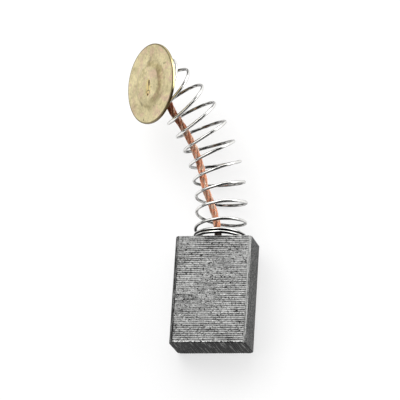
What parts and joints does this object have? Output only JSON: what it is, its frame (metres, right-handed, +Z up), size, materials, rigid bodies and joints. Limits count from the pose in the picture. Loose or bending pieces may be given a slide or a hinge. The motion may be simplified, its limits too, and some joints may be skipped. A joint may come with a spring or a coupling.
{
  "type": "carbon brush",
  "caption": "Carbon brush for a small electric motor: carbon block, stranded copper shunt, compression spring round it and round brass terminal",
  "frame": {"origin": "centre of the block's wear face", "axes": "+Y along the block from the wear face to the spring, +Z up with the brush lying at rest on a table, +X to the block's right seen from above"},
  "size_m": [0.018, 0.0383, 0.014],
  "materials": {
    "carbon": "matte",
    "tamping_powder": "matte",
    "copper_strand": "satin",
    "spring_steel": "gloss",
    "brass_sheet": "satin"
  },
  "bodies": {
    "root": {"carbon_block": "carbon", "tamping_plug": "tamping_powder", "shunt": "copper_strand", "compression_spring": "spring_steel", "terminal_disc": "brass_sheet"}
  },
  "joints": []
}
